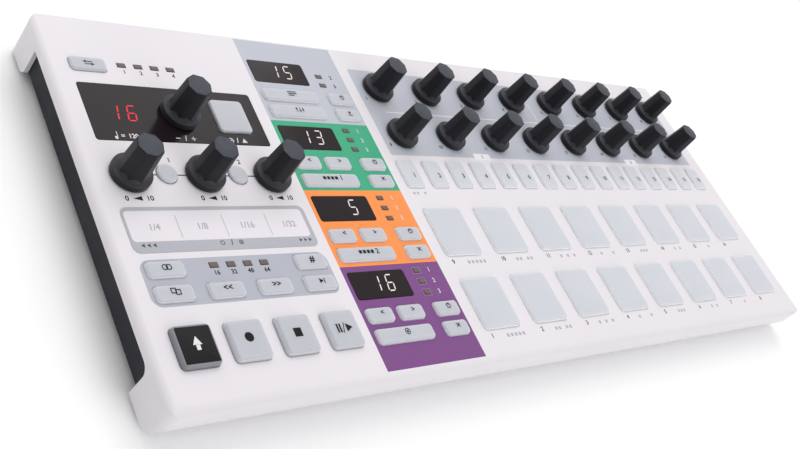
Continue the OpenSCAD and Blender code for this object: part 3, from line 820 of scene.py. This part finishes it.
def makeStrip():
    low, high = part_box("touch_strip")
    t, p = stripShape, stripPrint
    lipLow = Vector((low.x - t["leftLip"], low.y - t["endLip"], t["lipLow"]))
    lipHigh = Vector((high.x + t["rightLip"], high.y + t["endLip"], high.z))
    bedHigh = Vector((high.x, high.y, t["lipLow"]))
    layers = [softBlock(name, (start + end) / 2, end - start, t["corner"], t["edge"], steps=6)
              for name, start, end in (("filmLip", lipLow, lipHigh), ("filmBed", low, bedHigh))]
    strip = joinAll("touchStripFilm", layers)
    left, right = lipLow.x / mm + p["leftFrame"], lipHigh.x / mm - p["rightFrame"]
    front, rear = lipLow.y / mm + p["band"], lipHigh.y / mm - p["rearFrame"]
    zones = [((left, front), (right, rear), p["corner"], p["film"])]
    for i in (1, 2, 3):
        x = (low.x + (high.x - low.x) * i / 4) / mm
        lineLow = (x - p["line"] / 2, front + p["lineFront"])
        lineHigh = (x + p["line"] / 2, rear - p["lineRear"])
        zones.append((lineLow, lineHigh, p["lineCorner"], p["divider"]))
    finish = makeFinish("stripFilm", stripLook)
    printOn(finish, zones, panelTop)
    coat(strip, finish)
    settle(strip, "chassis", "strip_white", "touch_strip")


makeStrip()
print("windows and strip made")


# indicator lights: small light pipes with softened lens edges
lightSet = {  # mm
    "size": (3.4, 1.9), "corner": 0.3, "edge": 0.15, "pitch": 7.13, "count": 4,  # lights in a row
    "syncRow": (-175.04, 58.5), "linkRow": (-169.7, -30.0),
    "columnX": -75.8, "columnStep": 5.0, "windowRows": (-42.6, -7.5, 27.6, 62.7),  # front to rear
}
lightLook = {"tones": ("#6A5E58", "#5F534E"), "rough": (0.3, 0.45), "grain": 1800, "patch": 150,
             "smudge": 200, "bump": 0.05, "shine": 0.3}


def lightSpots():
    s = lightSet
    spots = [(x + i * s["pitch"], y) for x, y in (s["syncRow"], s["linkRow"]) for i in range(s["count"])]
    for y in s["windowRows"][:3]:
        spots += [(s["columnX"], y + k * s["columnStep"]) for k in (-1, 0, 1)]
    spots += [(s["columnX"], s["windowRows"][3] + k * s["columnStep"]) for k in (-1, 0)]
    return spots


def makeLights():
    low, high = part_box("indicator_lights")
    wide, deep, corner, edge = [s * mm for s in (*lightSet["size"], lightSet["corner"], lightSet["edge"])]
    master = softBlock("lightMaster", (0, 0, (low.z + high.z) / 2), (wide, deep, high.z - low.z),
                       corner, edge, steps=2)
    parts = [copyTo(master, "lightPipe", x * mm, y * mm) for x, y in lightSpots()]
    dropPiece(master)
    lights = joinAll("lightPipes", parts)
    coat(lights, makeFinish("lightPipeSmoke", lightLook))
    settle(lights, "chassis", "light_grey", "indicator_lights")


makeLights()
print("lights made")


# printed marks: thin closed plates, drawn about the origin in mm and then laid in place
inkShape = {"thick": 0.03 * mm, "sunk": 0.01 * mm, "capToSize": 0.72, "bolder": 0.022, "curveSteps": 3}
textHeight = {  # mm
    "arrow": 2.2, "pattern": 2.3, "jump": 2.4, "grid": 2.8, "step": 2.4, "amount": 2.1, "knob": 1.9,
    "pad": 2.1, "light": 1.8, "round": 2.0, "tag": 1.9, "column": 2.0, "window": 2.0, "slash": 2.4,
    "strip": 2.6,
}
inkSkin = {"rough": (0.5, 0.65), "grain": 2000, "patch": 200, "smudge": 120, "bump": 0.05, "shine": 0.18}
inkLooks = {
    "inkDark": {**inkSkin, "tones": ("#141317", "#111013")},
    "inkSlate": {**inkSkin, "tones": ("#55585F", "#4E5158")},
    "inkPale": {**inkSkin, "tones": ("#B4B4BC", "#AEAEB6")},
    "inkLilac": {**inkSkin, "tones": ("#A384AC", "#9C7DA5")},
    "inkWhite": {**inkSkin, "tones": ("#E6E2E6", "#DFDBE0")},
    "inkFaint": {**inkSkin, "tones": ("#D3D0D5", "#CCC9CE")},
    "digitWhite": {**inkSkin, "tones": ("#D9D0CC", "#D1C7C2"), "glow": 0.3},
    "digitRed": {**inkSkin, "tones": ("#E2323E", "#D32B36"), "glow": 0.4},
}
mixFinishes(inkLooks)


def raiseFlat(piece, height=inkShape["thick"]):
    startEdit(piece)
    bpy.ops.mesh.select_all(action="SELECT")
    extrudeBy(height)
    bpy.ops.mesh.select_all(action="SELECT")
    bpy.ops.mesh.normals_make_consistent(inside=False)
    endEdit()
    return piece


def hollowFlat(piece, line):
    startEdit(piece)
    bpy.ops.mesh.select_all(action="SELECT")
    bpy.ops.mesh.inset(thickness=line * mm)
    bpy.ops.mesh.delete(type="FACE")
    endEdit()
    return piece


def flatBar(wide, deep, x=0.0, y=0.0, turn=0.0):
    clearSelection()
    bpy.ops.mesh.primitive_plane_add(size=1, location=(x * mm, y * mm, 0),
                                     rotation=(0, 0, math.radians(turn)))
    bar = bpy.context.object
    bar.scale = (wide * mm, deep * mm, 1)
    applyPlace()
    return bar


def flatDisc(radius, x=0.0, y=0.0, corners=32, turn=0.0):
    clearSelection()
    bpy.ops.mesh.primitive_circle_add(vertices=corners, radius=radius * mm, fill_type="NGON",
                                      location=(x * mm, y * mm, 0), rotation=(0, 0, math.radians(turn)))
    disc = bpy.context.object
    applyPlace()
    return disc


def inkBar(wide, deep, x=0.0, y=0.0, turn=0.0):
    return raiseFlat(flatBar(wide, deep, x, y, turn))


def inkDisc(radius, x=0.0, y=0.0):
    return raiseFlat(flatDisc(radius, x, y))


def inkRing(radius, line, x=0.0, y=0.0):
    return raiseFlat(hollowFlat(flatDisc(radius, x, y), line))


def inkFrame(wide, deep, line, x=0.0, y=0.0):
    return raiseFlat(hollowFlat(flatBar(wide, deep, x, y), line))


def inkArrow(radius, x=0.0, y=0.0, turn=0.0):
    # a triangle that points to the rear when unturned
    return raiseFlat(flatDisc(radius, x, y, corners=3, turn=turn))


def inkText(words, height, x=0.0, y=0.0):
    clearSelection()
    bpy.ops.object.text_add()
    label = bpy.context.object
    label.data.body = words
    label.data.size = height * mm / inkShape["capToSize"]
    label.data.align_x = "CENTER"
    label.data.align_y = "CENTER"
    label.data.extrude = inkShape["thick"] / 2
    label.data.offset = inkShape["bolder"] * label.data.size
    label.data.resolution_u = inkShape["curveSteps"]
    bpy.ops.object.convert(target="MESH")
    return shiftMesh(bpy.context.object, x * mm, y * mm, inkShape["thick"] / 2)


def layInk(parts, x, y, top):
    for part in parts:
        shiftMesh(part, x, y, top - inkShape["sunk"])
    return parts


def gatherInk(name, body, slot, finishName, parts):
    marks = joinAll(name, parts)
    coat(marks, finishes[finishName])
    settle(marks, body, slot)


# symbols in mm, each about the origin
def listMark():
    return [inkBar(wide, 0.45, (wide - 4.6) / 2, 0.95 - 0.95 * i) for i, wide in enumerate((4.6, 4.6, 3.0))]


def sliderMark():
    marks = []
    for i, height in enumerate((0.5, -0.5, 0.2)):
        marks += [inkBar(0.3, 2.5, 1.7 * (i - 1)), inkBar(1.0, 0.6, 1.7 * (i - 1), height)]
    return marks


def dialMark():
    return [inkRing(1.2, 0.35), inkBar(0.4, 1.2, 0, 0.6)]


def muteMark():
    return [inkBar(2.6, 0.4, turn=a) for a in (40, -40)]


def saveMark():
    return [inkArrow(1.0, 0, 0.3, 180), inkBar(2.4, 0.4, 0, -1.1)]


def patternMark(number):
    squares = [inkBar(1.5, 1.5, -4.6 + 2.1 * i) for i in range(4)]
    return squares + [inkText(number, textHeight["pattern"], 4.4)]


def drumMark():
    return [inkRing(1.3, 0.35), inkDisc(0.5)]


def ringLinkMark():
    return [inkRing(1.15, 0.35, -0.75), inkRing(1.15, 0.35, 0.75)]


def boxLinkMark():
    return [inkFrame(2.1, 2.1, 0.35, -0.8, 0.3), inkFrame(2.1, 2.1, 0.35, 0.8, -0.3)]


def lastMark():
    return [inkArrow(1.2, -0.3, 0, -90), inkBar(0.4, 2.1, 1.3)]


def swapMark():
    return [inkBar(2.6, 0.35, 0.3, 0.6), inkArrow(0.75, -1.4, 0.6, 90),
            inkBar(2.6, 0.35, -0.3, -0.6), inkArrow(0.75, 1.4, -0.6, -90)]


def playMark():
    return [inkBar(0.75, 3.5, -3.2), inkBar(0.75, 3.5, -1.95), inkBar(0.35, 4.3, -0.4, 0, -18),
            inkArrow(1.95, 1.75, 0, -90)]


def shiftMark():
    return [inkArrow(2.0, 0, 0.9), inkBar(1.5, 2.0, 0, -1.0)]


markShift = {"column": (0.8 * mm, 0.7 * mm), "link": (0.3 * mm, 0.5 * mm), "step": (1.3 * mm, -1.2 * mm)}


def markKeys(nodeName, symbols, offset, ink="inkDark"):
    # symbols as (key number, symbol pieces)
    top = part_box(nodeName)[1].z
    parts = []
    for number, symbol in symbols:
        x, y = bankKeys[nodeName][number][:2]
        parts += layInk(symbol, x + offset[0], y + offset[1], top)
    gatherInk(nodeName + "Marks", nodeName, "key_grey", ink, parts)


def markBanks():
    trackMarks = {"drum_keypad": drumMark, "sequencer_2_keypad": lambda: patternMark("2"),
                  "sequencer_1_keypad": lambda: patternMark("1")}
    for nodeName, wideMark in trackMarks.items():
        symbols = [(0, wideMark()), (1, muteMark()), (2, dialMark())]
        symbols += [(k, [inkText(way, textHeight["arrow"])]) for k, way in ((3, "<"), (4, ">"))]
        markKeys(nodeName, symbols, markShift["column"])
    symbols = [(0, sliderMark()), (1, saveMark()), (2, dialMark()), (3, listMark())]
    markKeys("project_keypad", symbols, markShift["column"])
    symbols = [(0, boxLinkMark()), (1, [inkText("<<", textHeight["jump"])]),
               (2, [inkText(">>", textHeight["jump"])]), (3, lastMark()), (4, ringLinkMark()),
               (5, [inkText("#", textHeight["grid"])])]
    markKeys("link_keypad", symbols, markShift["link"])
    numbers = [(i, [inkText(str(i + 1), textHeight["step"])]) for i in range(stepCount)]
    markKeys("step_keypad", numbers, markShift["step"], "inkSlate")


def markSingleKeys():
    symbols = {"record_button": lambda: [inkDisc(1.75, -0.2, 0.6)],
               "stop_button": lambda: [inkBar(3.3, 3.3, -0.4, 0.3)],
               "play_button": playMark, "sync_button": swapMark}
    for nodeName, symbol in symbols.items():
        spot = middleOf(nodeName)
        parts = layInk(symbol(), spot.x, spot.y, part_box(nodeName)[1].z)
        gatherInk(nodeName + "Mark", nodeName, "key_grey", "inkDark", parts)
    spot = middleOf("shift_button")
    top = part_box("shift_button")[1].z + shiftKey["faceThick"] / 2
    parts = layInk(shiftMark(), spot.x, spot.y, top)
    gatherInk("shiftMark", "shift_button", "shift_grey", "inkWhite", parts)


markBanks()
markSingleKeys()
print("key marks printed")


panelMarks = {  # mm; offsets from the control that a mark belongs to, and the lights' outline
    "knobNumber": (-9.2, -5.7), "padNumber": (-8.6, -14.7), "padPattern": (5.6, -15.2),
    "syncNumber": (0.4, -3.2), "linkNumber": (0.2, -3.05), "amount": (0.5, -9.7), "columnNumber": 7.0,
    "roundNumber": (3.2, 6.3), "stepPattern": (-49.3, 0.0),  # the step pattern's place is its own
    "outline": 1.1, "outlineWide": 0.25,
    "wedge": (2.4, 1.1), "amountEnds": (-4.7, 4.3),  # stretch of a small triangle, and where 0 and 10 stand
    "padSquares": (1.5, 2.5), "stepSquares": (1.3, 2.2),  # side and pitch
}


def markAmounts():
    # a rising wedge between 0 and 10 in front of each small left knob
    parts = []
    for nodeName in ("swing_knob", "randomness_knob", "probability_knob"):
        wedge = flatDisc(1.0, corners=3, turn=90)
        wedge.data.transform(Matrix.Diagonal((*panelMarks["wedge"], 1.0, 1.0)))
        tall = textHeight["amount"]
        zeroX, tenX = panelMarks["amountEnds"]
        symbol = [inkText("0", tall, zeroX), raiseFlat(wedge), inkText("10", tall, tenX)]
        spot = middleOf(nodeName)
        across, down = panelMarks["amount"]
        parts += layInk(symbol, spot.x + across * mm, spot.y + down * mm, panelTop)
    return parts


def squareRow(size, spots):
    side, pitch = size
    return [inkBar(side, side, pitch * k) for k in spots]


def besideNode(nodeName, offset, symbol):
    spot = middleOf(nodeName)
    return layInk(symbol, spot.x + offset[0] * mm, spot.y + offset[1] * mm, panelTop)


def markPanel():
    p, s = panelMarks, lightSet
    dark = markAmounts()
    pale = []
    white = []
    lilac = []
    for i in range(stepCount):
        number = str(i + 1)
        dark += besideNode("knob_" + number, p["knobNumber"], [inkText(number, textHeight["knob"])])
        dark += besideNode("pad_" + number, p["padNumber"], [inkText(number, textHeight["pad"])])
        spots = [k for k in range(-2, 3) if (i >> abs(k)) % 2 == 0]  # each pad has its own row of squares
        pale += besideNode("pad_" + number, p["padPattern"], squareRow(p["padSquares"], spots))
    for i in range(s["count"]):
        for row, offset, words in (("syncRow", p["syncNumber"], str(i + 1)),
                                   ("linkRow", p["linkNumber"], str(16 * (i + 1)))):
            x = s[row][0] + i * s["pitch"] + offset[0]
            mark = [inkText(words, textHeight["light"])]
            dark += layInk(mark, x * mm, (s[row][1] + offset[1]) * mm, panelTop)
    across, back = p["roundNumber"]
    for i, (x, y) in enumerate(roundSpots()):
        mark = [inkText(str(i + 1), textHeight["round"])]
        dark += layInk(mark, x + across * mm, y + back * mm, panelTop)
    x, y = p["stepPattern"]
    pale += layInk(squareRow(p["stepSquares"], (-2, -1, 1)), x * mm, y * mm, panelTop)
    for i, tagX in enumerate(fieldPrint["tagX"]):
        y = sum(fieldPrint["tagY"]) / 2
        mark = [inkText(str(i + 1), textHeight["tag"])]
        dark += layInk(mark, sum(tagX) / 2 * mm, y * mm, panelTop)
    for row, y in enumerate(s["windowRows"]):
        for k in (1, 0, -1):
            if row == 3 and k == 1:  # the rear window has only two lights
                continue
            lightY = (y + k * s["columnStep"]) * mm
            mark = [inkText(str(2 - k), textHeight["column"])]
            layInk(mark, (s["columnX"] + p["columnNumber"]) * mm, lightY, panelTop)
            if row < 3:
                white += mark
            else:
                dark += mark
            if row == 0:  # the front lights have a pale outline
                wide, deep = [side + p["outline"] for side in s["size"]]
                outline = [inkFrame(wide, deep, p["outlineWide"])]
                lilac += layInk(outline, s["columnX"] * mm, lightY, panelTop)
    for name, ink, parts in (("panelDarkMarks", "inkDark", dark), ("panelPaleMarks", "inkPale", pale),
                             ("columnWhiteMarks", "inkFaint", white), ("lightOutlines", "inkLilac", lilac)):
        gatherInk(name, "chassis", "shell_white", ink, parts)


markPanel()
print("panel marks printed")


windowMarks = {"noteX": -184.5, "rateX": -159.5, "tapX": -136.0, "markY": 24.6}  # mm


def markWindow():
    w = windowMarks
    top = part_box("display_windows")[1].z
    tall, slash = textHeight["window"], textHeight["slash"]
    note = [inkDisc(0.7, -4.0, -0.8), inkBar(0.3, 2.8, -3.45, 0.5), inkText("=", tall, -1.2),
            inkText("120", tall, 3.0)]
    rate = [inkBar(1.9, 0.4, -3.4), inkText("/", slash), inkBar(1.9, 0.4, 3.4), inkBar(0.4, 1.9, 3.4)]
    tap = [inkDisc(0.5, -3.0), inkRing(1.2, 0.3, -3.0), inkText("/", slash), inkArrow(1.4, 3.2, -0.2)]
    parts = []
    for place, symbol in ((w["noteX"], note), (w["rateX"], rate), (w["tapX"], tap)):
        parts += layInk(symbol, place * mm, w["markY"] * mm, top)
    gatherInk("windowMarks", "chassis", "window_smoke", "inkWhite", parts)


def markStrip():
    low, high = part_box("touch_strip")
    front = low.y + stripPrint["band"] * mm
    rowY = (front + high.y - stripPrint["rearFrame"] * mm) / 2 - stripPrint["textDown"] * mm
    pale = []
    for i, words in enumerate(("1/4", "1/8", "1/16", "1/32")):
        x = low.x + (high.x - low.x) * (i + 0.5) / 4
        pale += layInk([inkText(words, textHeight["strip"])], x, rowY, high.z)
    bandY = low.y + stripPrint["bandMiddle"] * stripPrint["band"] * mm
    dark = []
    for edge, way in ((low.x, 1), (high.x, -1)):
        arrows = [inkArrow(0.95, way * (3.0 + 2.2 * i), 0, 90 * way) for i in range(3)]
        dark += layInk(arrows, edge, bandY, high.z)
    slash = inkText("/", textHeight["slash"])
    middle = [inkRing(0.95, 0.3, -4), slash, inkRing(0.95, 0.3, 4), inkDisc(0.4, 4)]
    dark += layInk(middle, (low.x + high.x) / 2, bandY, high.z)
    gatherInk("stripNumbers", "chassis", "strip_white", "inkPale", pale)
    gatherInk("stripBandMarks", "chassis", "strip_white", "inkSlate", dark)


markWindow()
markStrip()


# lit seven-stroke digits, laid on the faces of the windows
digitShape = {"wide": 3.2, "tall": 6.9, "stroke": 0.55, "chamfer": 0.45, "gap": 0.5, "slant": 0.155,
              "pitch": 7.2}  # mm, and shares of the stroke and the height
strokePlaces = {  # in half widths and half heights from the digit's middle, and whether it runs across
    "top": (0, 1, True), "middle": (0, 0, True), "bottom": (0, -1, True),
    "upLeft": (-1, 0.5, False), "upRight": (1, 0.5, False),
    "lowLeft": (-1, -0.5, False), "lowRight": (1, -0.5, False),
}
litStrokes = {
    "1": ("upRight", "lowRight"),
    "3": ("top", "middle", "bottom", "upRight", "lowRight"),
    "5": ("top", "middle", "bottom", "upLeft", "lowRight"),
    "6": ("top", "middle", "bottom", "upLeft", "lowLeft", "lowRight"),
}
shownNumbers = {"project_keypad": "15", "sequencer_1_keypad": "13", "sequencer_2_keypad": "5",
                "drum_keypad": "16", "tempo": "16"}
unitPlace = {"column": (5.0, 0.5), "tempo": (-178.6, 35.3)}  # mm; the column's from its window's middle


def digitStroke(long, thick, x, y, across):
    wide, deep = (long, thick) if across else (thick, long)
    height = inkShape["thick"]
    stroke = addBlock("stroke", (0, 0, height / 2), (wide * mm, deep * mm, height))
    startEdit(stroke)
    bevelEdges(stroke, isUpright, digitShape["chamfer"] * thick * mm, segments=1)
    endEdit()
    return shiftMesh(stroke, x * mm, y * mm)


def litNumber(words, unitX, middleY, top):
    d = digitShape
    lean = Matrix(((1, d["slant"], 0, 0), (0, 1, 0, 0), (0, 0, 1, 0), (0, 0, 0, 1)))
    parts = []
    for k, figure in enumerate(reversed(words)):
        strokes = []
        for name in litStrokes[figure]:
            x, y, across = strokePlaces[name]
            long = d["wide"] - d["gap"] if across else d["tall"] / 2 - d["gap"]
            strokes.append(digitStroke(long, d["stroke"], x * d["wide"] / 2, y * d["tall"] / 2, across))
        for stroke in strokes:
            stroke.data.transform(lean)
        parts += layInk(strokes, (unitX - k * d["pitch"]) * mm, middleY * mm, top)
    return parts


def lightDigits():
    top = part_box("display_windows")[1].z
    white = []
    offset = unitPlace["column"]
    for row, nodeName in enumerate(columnNames):
        windowX = bankKeys[nodeName][0][0] / mm
        windowY = lightSet["windowRows"][row]
        white += litNumber(shownNumbers[nodeName], windowX + offset[0], windowY + offset[1], top)
    gatherInk("columnDigits", "chassis", "window_smoke", "digitWhite", white)
    red = litNumber(shownNumbers["tempo"], *unitPlace["tempo"], top)
    gatherInk("tempoDigits", "chassis", "window_smoke", "digitRed", red)


lightDigits()
print("window marks and digits lit")


# feet with a rounded sole; the screws under the base keep their solids
footLook = {"tones": ("#1E1E20", "#18181A"), "rough": (0.7, 0.85), "grain": 1400, "patch": 70, "bump": 0.3,
            "shine": 0.25}
screwLook = {"tones": ("#55575C", "#45474B"), "rough": (0.3, 0.45), "grain": 1900, "patch": 200,
             "bump": 0.1, "metal": 1.0}
footShape = {"radius": 8.0 * mm, "edge": 0.9 * mm, "ring": 1.6 * mm, "dish": 0.5 * mm,
             "dishEdge": 0.3 * mm}


def makeFeet():
    low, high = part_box("feet")
    f = footShape
    tall = high.z - low.z
    master = addDrum("footMaster", (0, 0, tall / 2), f["radius"], tall)
    startEdit(master)
    bevelEdges(master, rimAt(0.0), f["edge"], segments=4)
    pickFlat(master, 0.0)
    bpy.ops.mesh.inset(thickness=f["ring"])
    bpy.ops.mesh.inset(thickness=f["dishEdge"], depth=-f["dish"])
    endEdit()
    spots = [(x, y) for x in (low.x + f["radius"], high.x - f["radius"])
             for y in (low.y + f["radius"], high.y - f["radius"])]
    feet = joinAll("rubberFeet", [copyTo(master, "foot", x, y) for x, y in spots])
    dropPiece(master)
    coat(feet, makeFinish("footRubber", footLook))
    settle(feet, "chassis", "foot_rubber", "feet")


makeFeet()
coat(cadNodes["screws"], makeFinish("screwSteel", screwLook))
print("feet made")


# plated rings round the rear sockets
socketSet = {"firstX": -35.0, "pitch": 17.0, "count": 10, "height": 12.85, "inner": 1.85, "outer": 3.1,
             "front": 79.6, "mouth": 80.9, "edge": 0.25}  # mm
ringLook = {"tones": ("#A6A8AB", "#8F9296"), "rough": (0.22, 0.36), "grain": 1700, "patch": 160,
            "smudge": 220, "bump": 0.06, "metal": 1.0}


def makeSocketRings():
    s = {name: value * mm for name, value in socketSet.items()}
    length = s["mouth"] - s["front"]
    master = hollowFlat(flatDisc(socketSet["outer"], corners=40), socketSet["outer"] - socketSet["inner"])
    raiseFlat(master, length)
    startEdit(master)
    bevelEdges(master, rimAt(length), s["edge"], segments=3)
    endEdit()
    master.data.transform(Matrix.Rotation(math.radians(-90), 4, "X"))
    rings = [copyTo(master, "socketRing", s["firstX"] + i * s["pitch"], s["front"], s["height"])
             for i in range(socketSet["count"])]
    dropPiece(master)
    plated = joinAll("socketRings", rings)
    coat(plated, makeFinish("socketPlate", ringLook))
    settle(plated, "chassis", "encoder_metal")


makeSocketRings()
print("socket rings made")
